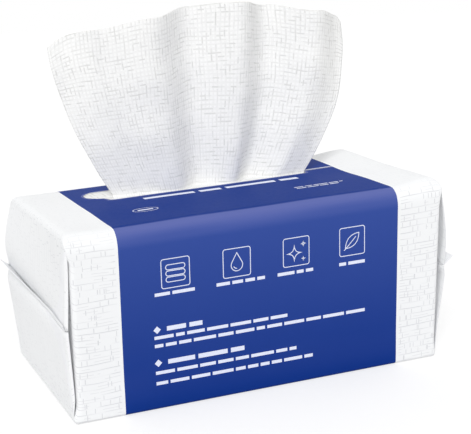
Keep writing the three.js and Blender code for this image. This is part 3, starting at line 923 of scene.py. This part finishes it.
def icon_strokes(kind, centre, size):
    """The lines of one small generic picture in its frame."""
    half = size / 2
    inner = half * ICON_FILL
    framed = (rounded_box(1, 1, 0.16), centre, half)
    # Closed lines: shape, place and scale
    closed = {
        "towels": [
            (rounded_box(1.0, 0.25, 0.24), (centre[0], centre[1] + step * inner), inner)
            for step in (-0.62, 0, 0.62)
        ],
        "drop": [(drop_shape(), centre, inner)],
        "sparkle": [
            (sparkle_shape(), (centre[0] + dx * half, centre[1] + dy * half), inner * scale)
            for dx, dy, scale in ((-0.15, -0.1, 1), (0.55, 0.5, 0.3), (0.55, -0.55, 0.22))
        ],
        "leaf": [(leaf_shape(), centre, inner)],
    }
    shapes = [stroke(outline_of(*line), ICON_LINE, True) for line in [framed, *closed[kind]]]
    if kind == "drop":
        gleam = arc((centre[0], centre[1] - 0.25 * inner), 0.36 * inner, 200, 270, 7)
        shapes.append(stroke(gleam, ICON_LINE))
    if kind == "leaf":
        stem = [(-0.95, -0.9), (0, 0), (0.45, 0.45)]
        shapes.append(stroke(outline_of(stem, centre, inner), ICON_LINE))
    return shapes


def word_bars(left, right, level, height, seed):
    """A line of plain short bars, in place of words."""
    pick = random.Random(seed)
    bars = []
    x = left
    while x < right - height:
        end = min(right, x + height * pick.uniform(*BAR_LENGTHS))
        count = max(2, int((end - x) / 3) + 1)
        line = [(x + (end - x) * i / (count - 1), level) for i in range(count)]
        bars.append(stroke(line, height * BAR_THICKNESS))
        x = end + height * BAR_GAP
    return bars


def diamond(centre, size):
    """A small filled square on its corner."""
    corners = np.array([(0, 1), (1, 0), (0, -1), (-1, 0)])
    return [(corners * size + np.array(centre), [(0, 1, 2, 3)])]


def print_mesh(name, shapes, place, outward):
    """Joins flat shapes and lays them on the film, a little proud of it."""
    verts, faces = [], []
    for points, quads in shapes:
        start = len(verts)
        verts.extend(place(points))
        faces.extend(tuple(start + i for i in quad) for quad in quads)
    obj = new_object(name, lean(soften(np.array(verts, float))), faces)
    obj.data.transform(Matrix.Translation(Vector(outward) * PRINT_LIFT * MM))
    return obj


def on_front(points):
    """Places of flat points on the front."""
    return [(x, -BODY_DEPTH / 2, z) for x, z in points]


def on_top(points):
    """Places of flat points on the top."""
    return [(x, y, BODY_HEIGHT) for x, y in points]


def front_print():
    """Four pictures with captions, and below them two headings with two lines of notes each."""
    shapes = []
    for kind, x, level in ICONS:
        shapes += icon_strokes(kind, (x, level), ICON_SIZE)
    for index, (left, right) in enumerate(CAPTIONS):
        shapes += word_bars(left, right, CAPTION_LEVEL, NOTE_HEIGHT, 40 + index)
    for level, right in HEADINGS:
        shapes += diamond((DIAMOND_PLACE, level), DIAMOND_SIZE)
        shapes += word_bars(HEADING_LEFT, right, level, HEADING_HEIGHT, int(level))
    for level, right in NOTES:
        shapes += word_bars(NOTE_LEFT, right, level, NOTE_HEIGHT, int(level))
    return print_mesh("front_print", shapes, on_front, (0, -1, 0))


def top_print():
    """An oval with a bar in it, a long line before the slot, two small lines, and the slit's white edge."""
    turn = np.linspace(0, 2 * math.pi, 41)[:-1]
    oval = outline_of(np.stack([np.cos(turn), np.sin(turn)], axis=1), OVAL_CENTRE, OVAL_HALF_SIZE)
    shapes = [stroke(oval, OVAL_LINE, True)]
    for index, (left, right, across, height) in enumerate(TOP_BARS):
        shapes += word_bars(left, right, across, height, 61 + index)
    edge = [(x, SLIT_BACK + 0.35) for x in np.linspace(SLOT_RIGHT + 0.6, SLIT_RIGHT - 0.4, 9)]
    shapes.append(stroke(edge, SLIT_LINE))
    return print_mesh("top_print", shapes, on_top, (0, 0, 1))


# Materials

def linear(code):
    """A hex sRGB colour as linear RGBA."""
    channels = [int(code[i:i + 2], 16) / 255 for i in (1, 3, 5)]
    return (*[c / 12.92 if c <= 0.04045 else ((c + 0.055) / 1.055) ** 2.4 for c in channels], 1.0)


def new_material(name):
    """A material with one main shader, and its node tree."""
    material = bpy.data.materials.new(name)
    material.use_nodes = True
    tree = material.node_tree
    tree.nodes.clear()
    shader = tree.nodes.new("ShaderNodeBsdfPrincipled")
    out = tree.nodes.new("ShaderNodeOutputMaterial")
    tree.links.new(shader.outputs[0], out.inputs["Surface"])
    return material, tree, shader


def flat_place(tree):
    """The flat place on the film or cloth, in millimetres, as two numbers."""
    uv = add(tree, "UVMap", uv_map="flat_mm")[0]
    parts = add(tree, "SeparateXYZ", (uv,))
    return parts[0], parts[1]


def hashed(tree, x, y, seed):
    """A number from 0 to 1 that is the same all over one cell."""
    at = add(tree, "CombineXYZ", (x, y, float(seed)))[0]
    return add(tree, "TexWhiteNoise", {"Vector": at}, noise_dimensions="3D")["Value"]


def cloud(tree, x, y, seed, scale, detail=2.0):
    """Soft unevenness from 0 to 1. Its patches are about 1 / scale millimetres across."""
    at = add(tree, "CombineXYZ", (x, y, float(seed)))[0]
    return add(tree, "TexNoise", {"Vector": at, "Scale": scale, "Detail": detail})[0]


def band(tree, value, centre, half_width, edge):
    """1 within half_width of centre, falling to 0 over edge."""
    offset = add(tree, "Math", (value, centre), operation="SUBTRACT")[0]
    away = add(tree, "Math", (offset,), operation="ABSOLUTE")[0]
    return add(tree, "MapRange", {
        "Value": away, "From Min": half_width + edge, "From Max": half_width - edge,
    }, interpolation_type="SMOOTHSTEP")[0]


def short_ticks(tree, u, row, pitch, share, seed, half_width):
    """Short lines across one row of the linen, at uneven places, some missing."""
    cells = add(tree, "Math", (u, pitch), operation="DIVIDE")[0]
    shifted = add(tree, "Math", (row, 0.37 + seed * 0.11, cells), operation="MULTIPLY_ADD")[0]
    cell = add(tree, "Math", (shifted,), operation="FLOOR")[0]
    inside = add(tree, "Math", (shifted,), operation="FRACT")[0]
    place = add(tree, "Math", (hashed(tree, cell, row, seed), 0.7, 0.15), operation="MULTIPLY_ADD")[0]
    there = add(tree, "Math", (hashed(tree, cell, row, seed + 9), share), operation="LESS_THAN")[0]
    mark = band(tree, inside, place, half_width / pitch, half_width / pitch * 0.7)
    return add(tree, "Math", (mark, there), operation="MULTIPLY")[0]


def linen_lines(tree, u, v):
    """Linen print: long thin lines 3.1 mm apart along the pack, with a few short ticks between them."""
    uneven = add(tree, "Math", (cloud(tree, u, v, 1, 0.03), 0.5), operation="SUBTRACT")[0]
    drift = add(tree, "Math", (uneven, 0.9), operation="MULTIPLY")[0]
    straight = add(tree, "Math", (v, LINEN_PITCH), operation="DIVIDE")[0]
    rows = add(tree, "Math", (straight, drift), operation="ADD")[0]
    row = add(tree, "Math", (rows,), operation="FLOOR")[0]
    inside = add(tree, "Math", (rows,), operation="FRACT")[0]
    # Each long line comes and goes along the pack
    own = add(tree, "Math", (row, 7.0), operation="MULTIPLY")[0]
    strength = add(tree, "MapRange", {
        "Value": cloud(tree, u, own, 2, 0.07, 1.0), "From Min": 0.35, "From Max": 0.6,
    })[0]
    middle = band(tree, inside, 0.5, 0.055, 0.045)
    long_line = add(tree, "Math", (middle, strength), operation="MULTIPLY")[0]
    # Here and there a fainter line runs between two rows
    other = add(tree, "Math", (row, 5.0), operation="MULTIPLY")[0]
    there = add(tree, "Math", (cloud(tree, u, other, 3, 0.12, 1.0), 0.56), operation="GREATER_THAN")[0]
    second = add(tree, "Math", (band(tree, inside, 0.96, 0.05, 0.04), there), operation="MULTIPLY")[0]
    faint = add(tree, "Math", (second, 0.6), operation="MULTIPLY")[0]
    # Ticks stand between the long lines
    half_on = add(tree, "Math", (rows, 0.5), operation="ADD")[0]
    half = add(tree, "Math", (half_on,), operation="FLOOR")[0]
    between = add(tree, "Math", (half_on,), operation="FRACT")[0]
    near = short_ticks(tree, u, half, SHORT_TICK_PITCH, 0.5, 3, 0.15)
    far = short_ticks(tree, u, half, LONG_TICK_PITCH, 0.6, 4, 0.2)
    ticks = add(tree, "Math", (near, far), operation="MAXIMUM")[0]
    ticks = add(tree, "Math", (ticks, band(tree, between, 0.45, 0.38, 0.06)), operation="MULTIPLY")[0]
    lines = add(tree, "Math", (long_line, faint), operation="MAXIMUM")[0]
    return add(tree, "Math", (lines, ticks), operation="MAXIMUM")[0]


def film_material():
    """Blown polyethylene film, printed on rollers: white with a grey linen print at its ends, royal blue
    round the middle. The eye gets even ink with a satin sheen, plus painted sheen that makes the blue
    lighter toward the top of each side and a painted highlight on the bend between the top and the sides."""
    material, tree, shader = new_material("printed_polyethylene_film")
    u, v = flat_place(tree)
    lines = linen_lines(tree, u, v)
    place = add(tree, "SeparateXYZ", (add(tree, "TexCoord")["Object"],))
    middle, half = (PRINT_RIGHT + PRINT_LEFT) / 2, (PRINT_RIGHT - PRINT_LEFT) / 2
    offset = add(tree, "Math", (u, middle), operation="SUBTRACT")[0]
    away = add(tree, "Math", (offset,), operation="ABSOLUTE")[0]
    from_edge = add(tree, "Math", (away, half), operation="SUBTRACT")[0]
    # The linen print stops short of the blue band, and is faint on the end flaps and the top
    clear = add(tree, "MapRange", {"Value": from_edge, "From Min": 1.3, "From Max": 2.0})[0]
    upward = add(tree, "SeparateXYZ", (add(tree, "NewGeometry")["Normal"],))[2]
    outward = add(tree, "Math", (place[0],), operation="ABSOLUTE")[0]
    side = add(tree, "MapRange", {
        "Value": outward, "From Min": 0.1005, "From Max": 0.1025, "To Min": 1.0, "To Max": 0.3,
    })[0]
    top = add(tree, "MapRange", {
        "Value": upward, "From Min": 0.35, "From Max": 0.95, "To Min": 1.0, "To Max": 0.2,
    })[0]
    shown = add(tree, "Math", (lines, clear), operation="MULTIPLY")[0]
    faded = add(tree, "Math", (side, top), operation="MULTIPLY")[0]
    amount = add(tree, "Math", (shown, faded), operation="MULTIPLY")[0]
    white = add(tree, "Mix", {0: amount, 6: linear("#F5F6F7"), 7: linear("#D8D9DC")}, data_type="RGBA")[2]
    # Painted sheen: the blue is mixed a little lighter toward the top of each side, in place of light
    # falling from above. Places on the object are in metres
    height = add(tree, "MapRange", {"Value": place[2], "From Min": 0.0, "From Max": 0.088})[0]
    facing_up = add(tree, "MapRange", {"Value": upward, "From Min": 0.6, "From Max": 0.95})[0]
    on_side = add(tree, "Math", (1.0, facing_up), operation="SUBTRACT")[0]
    height = add(tree, "Math", (height, on_side), operation="MULTIPLY")[0]
    ink = add(tree, "Mix", {0: height, 6: linear("#133586"), 7: linear("#3A519D")}, data_type="RGBA")[2]
    # Painted highlight: the ink is mixed paler on the bend between the flat top and the upright sides,
    # where a lamp's gleam would lie
    off_the_top = add(tree, "MapRange", {"Value": upward, "From Min": 0.995, "From Max": 0.96})[0]
    above_the_side = add(tree, "MapRange", {"Value": upward, "From Min": 0.0, "From Max": 0.8})[0]
    painted_highlight = add(tree, "Math", (off_the_top, above_the_side), operation="MULTIPLY")[0]
    bend = add(tree, "Mix", {0: painted_highlight, 6: ink, 7: linear("#606BAA")}, data_type="RGBA")
    is_print = add(tree, "Math", (from_edge, 0.0), operation="LESS_THAN")[0]
    colour = add(tree, "Mix", {0: is_print, 6: white, 7: bend[2]}, data_type="RGBA")[2]
    tree.links.new(colour, shader.inputs["Base Color"])
    grain = cloud(tree, u, v, 6, 0.6, 3.0)
    rough = add(tree, "MapRange", {"Value": grain, "To Min": 0.46, "To Max": 0.56})[0]
    tree.links.new(rough, shader.inputs["Roughness"])
    # The film's gloss is faint and bluish
    shader.inputs["Specular IOR Level"].default_value = 0.04
    shader.inputs["Specular Tint"].default_value = (0.2, 0.2, 0.3, 1)
    bump = add(tree, "Bump", {
        "Height": cloud(tree, u, v, 7, 0.12, 3.0), "Strength": 0.05, "Distance": 0.001,
    })
    tree.links.new(bump[0], shader.inputs["Normal"])
    return material


def bare_film_material():
    """The same film as it leaves the blower, unprinted: white and slightly cloudy. It is what the eye
    gets inside the slot, in the pockets and on cut edges."""
    material, tree, shader = new_material("white_polyethylene_film")
    u, v = flat_place(tree)
    haze = cloud(tree, u, v, 10, 0.2)
    colour = add(tree, "Mix", {0: haze, 6: linear("#F7F8FA"), 7: linear("#ECEDF0")}, data_type="RGBA")[2]
    tree.links.new(colour, shader.inputs["Base Color"])
    shader.inputs["Roughness"].default_value = 0.5
    return material


def seal_material():
    """The same film where hot ribbed jaws sealed it. The eye gets fine ribs 1.6 mm apart, white and
    glossier than the film beside them."""
    material, tree, shader = new_material("crimped_film_seal")
    u, v = flat_place(tree)
    ribs = add(tree, "Math", (u, RIB_PITCH), operation="DIVIDE")[0]
    inside = add(tree, "Math", (ribs,), operation="FRACT")[0]
    offset = add(tree, "Math", (inside, 0.5), operation="SUBTRACT")[0]
    rib = add(tree, "Math", (offset,), operation="ABSOLUTE")[0]
    shader.inputs["Base Color"].default_value = linear("#F3F4F6")
    rough = add(tree, "MapRange", {"Value": cloud(tree, u, v, 9, 0.8), "To Min": 0.35, "To Max": 0.5})[0]
    tree.links.new(rough, shader.inputs["Roughness"])
    bump = add(tree, "Bump", {"Height": rib, "Strength": 0.5, "Distance": 0.0004})
    tree.links.new(bump[0], shader.inputs["Normal"])
    return material


def thread_lines(tree, across, along, drift, pitch, seed, half_width):
    """Threads of the weave: soft lines at a pitch, strong in some lengths and faint in others."""
    straight = add(tree, "Math", (across, pitch), operation="DIVIDE")[0]
    lane = add(tree, "Math", (straight, drift), operation="ADD")[0]
    number = add(tree, "Math", (lane,), operation="FLOOR")[0]
    inside = add(tree, "Math", (lane,), operation="FRACT")[0]
    line = band(tree, inside, 0.5, half_width, half_width * 0.9)
    pieces = add(tree, "Math", (along, THREAD_LENGTH), operation="DIVIDE")[0]
    shifted = add(tree, "Math", (number, 0.43, pieces), operation="MULTIPLY_ADD")[0]
    piece = add(tree, "Math", (shifted,), operation="FLOOR")[0]
    strength = add(tree, "Math", (hashed(tree, number, piece, seed), 2.5), operation="POWER")[0]
    shown = add(tree, "Math", (strength, 0.6, 0.24), operation="MULTIPLY_ADD")[0]
    return add(tree, "Math", (line, shown), operation="MULTIPLY")[0]


def cloth_material():
    """Cotton nonwoven, its fibres laced by water jets on a woven mesh. The eye gets a dull white cloth
    with soft crossing threads 2.3 mm apart, some darker and broken, and finer ones between them."""
    material, tree, shader = new_material("embossed_cotton_nonwoven")
    u, v = flat_place(tree)
    uneven = add(tree, "Math", (cloud(tree, u, v, 11, 0.04), 0.5), operation="SUBTRACT")[0]
    drift = add(tree, "Math", (uneven, 1.4), operation="MULTIPLY")[0]
    threads = []
    for pitch, seed, half_width in ((THREAD_PITCH, 12, 0.14), (THREAD_PITCH / 2, 15, 0.18)):
        one_way = thread_lines(tree, u, v, drift, pitch, seed, half_width)
        other_way = thread_lines(tree, v, u, drift, pitch, seed + 1, half_width)
        threads.append(add(tree, "Math", (one_way, other_way), operation="MAXIMUM")[0])
    coarse, fine = threads
    fine = add(tree, "Math", (fine, 0.4), operation="MULTIPLY")[0]
    weave = add(tree, "Math", (coarse, fine), operation="MAXIMUM")[0]
    fibres = cloud(tree, u, v, 14, 1.2, 4.0)
    haze = add(tree, "Math", (fibres, 0.1), operation="MULTIPLY")[0]
    dark = add(tree, "Math", (weave, 0.95, haze), operation="MULTIPLY_ADD")[0]
    colour = add(tree, "Mix", {0: dark, 6: linear("#FDFDFC"), 7: linear("#D2D2D0")}, data_type="RGBA")[2]
    tree.links.new(colour, shader.inputs["Base Color"])
    rough = add(tree, "MapRange", {"Value": fibres, "To Min": 0.85, "To Max": 1.0})[0]
    tree.links.new(rough, shader.inputs["Roughness"])
    raised = add(tree, "Math", (fibres, 0.3), operation="MULTIPLY")[0]
    height = add(tree, "Math", (raised, weave), operation="SUBTRACT")[0]
    bump = add(tree, "Bump", {"Height": height, "Strength": 0.3, "Distance": 0.0003})
    tree.links.new(bump[0], shader.inputs["Normal"])
    shader.inputs["Specular IOR Level"].default_value = 0.1
    return material


def ink_material():
    """White ink rolled thinly over the blue, which shows through a little. The eye gets a slightly
    uneven, bluish white."""
    material, tree, shader = new_material("white_printing_ink")
    place = add(tree, "TexCoord")["Object"]
    noise = add(tree, "TexNoise", {"Vector": place, "Scale": 900.0})[0]
    colour = add(tree, "Mix", {0: noise, 6: linear("#EEF1FF"), 7: linear("#DDE3FA")}, data_type="RGBA")[2]
    tree.links.new(colour, shader.inputs["Base Color"])
    shader.inputs["Roughness"].default_value = 0.45
    return material


def backdrop_share(tree):
    """1 where the backdrop is seen, straight or in a gloss or through something clear, else 0."""
    path = add(tree, "LightPath")
    seen = add(tree, "Math", (path["Is Camera Ray"], path["Is Glossy Ray"]), operation="ADD")[0]
    return add(tree, "Math", (seen, path["Is Transmission Ray"]), operation="ADD", use_clamp=True)[0]


def floor_material():
    """Plain white studio floor, bright to the camera with the object's soft shadow on it."""
    material, tree, shader = new_material("white_studio_floor")
    shader.inputs["Roughness"].default_value = 0.9
    shader.inputs["Specular IOR Level"].default_value = 0.0
    seen = backdrop_share(tree)
    white = (FLOOR_WHITE, FLOOR_WHITE, FLOOR_WHITE, 1)
    white_seen = (FLOOR_WHITE_SEEN, FLOOR_WHITE_SEEN, FLOOR_WHITE_SEEN, 1)
    albedo = add(tree, "Mix", {0: seen, 6: white, 7: white_seen}, data_type="RGBA")[2]
    tree.links.new(albedo, shader.inputs["Base Color"])
    shader.inputs["Emission Color"].default_value = (1, 1, 1, 1)
    glow = add(tree, "Math", (seen, FLOOR_GLOW_SEEN), operation="MULTIPLY")[0]
    tree.links.new(glow, shader.inputs["Emission Strength"])
    return material


def dress(obj, material):
    """Gives a piece its one material and its place in the frame."""
    obj.data.materials.clear()
    obj.data.materials.append(material)
    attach(obj, "root")


# The pieces

film_look = film_material()
bare_film_look = bare_film_material()
seal_look = seal_material()
cloth_look = cloth_material()
ink_look = ink_material()

film = film_mesh()
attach(film, "root")
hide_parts("film_wrapper")
for name, side in (("left_fin", -1), ("right_fin", 1)):
    dress(fin_mesh(name, side), seal_look)
dress(seam_mesh(), seal_look)
dress(front_print(), ink_look)
dress(top_print(), ink_look)

pile = towel_pile()
dress(pile, cloth_look)
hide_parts("towel_stack")

standing = standing_towel()
dress(standing, cloth_look)
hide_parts("pop_up_towel")
lying = lying_towel()
dress(lying, cloth_look)
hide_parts("next_towel")


# Floor, light and camera

def add_stage():
    """The floor that the pack stands on."""
    mesh = bpy.data.meshes.new("floor")
    corners = [(x * FLOOR_REACH, y * FLOOR_REACH, 0) for x, y in ((-1, -1), (1, -1), (1, 1), (-1, 1))]
    mesh.from_pydata(corners, [], [(0, 1, 2, 3)])
    floor = bpy.data.objects.new("floor", mesh)
    bpy.context.collection.objects.link(floor)
    mesh.materials.append(floor_material())


def add_key_light():
    """Soft light from the front left, as from a wide panel."""
    data = bpy.data.lights.new("key", "SUN")
    data.energy = KEY_STRENGTH
    data.angle = math.radians(KEY_WIDTH_DEGREES)
    light = bpy.data.objects.new("key", data)
    light.rotation_mode = "QUATERNION"
    light.rotation_quaternion = Vector(KEY_DIRECTION).to_track_quat("Z", "Y")
    bpy.context.collection.objects.link(light)


def add_camera():
    """The photograph's view: front and left end, from a little above."""
    azimuth, elevation, roll = (math.radians(angle) for angle in CAMERA_ANGLES)
    back = Vector((
        math.sin(azimuth) * math.cos(elevation),
        -math.cos(azimuth) * math.cos(elevation),
        math.sin(elevation),
    ))
    right = (-back).cross(Vector((0, 0, 1))).normalized()
    up = right.cross(-back)
    across = math.cos(roll) * right + math.sin(roll) * up
    upward = -math.sin(roll) * right + math.cos(roll) * up
    data = bpy.data.cameras.new("camera")
    data.sensor_width = SENSOR_WIDTH
    data.lens = LENS_PIXELS / PHOTO_WIDTH_PIXELS * SENSOR_WIDTH
    data.clip_start = 0.01
    data.clip_end = 20
    camera = bpy.data.objects.new("camera", data)
    turn = Matrix((across, upward, back)).transposed().to_4x4()
    camera.matrix_world = Matrix.Translation((Vector(CAMERA_AIM) + back * CAMERA_DISTANCE) * MM) @ turn
    bpy.context.collection.objects.link(camera)
    bpy.context.scene.camera = camera


def add_world():
    """Even soft light, plain white where the camera, glossy and transmission rays see it."""
    world = bpy.data.worlds.new("studio")
    bpy.context.scene.world = world
    world.use_nodes = True
    tree = world.node_tree
    tree.nodes.clear()
    strength = add(tree, "Mix", {0: backdrop_share(tree), 2: AMBIENT_LIGHT, 3: 1.0})[0]
    background = add(tree, "Background", {"Color": (1, 1, 1, 1), "Strength": strength})
    add(tree, "OutputWorld", {"Surface": background[0]})


add_stage()
add_world()
add_camera()
add_key_light()
bpy.context.scene.view_settings.view_transform = "Standard"
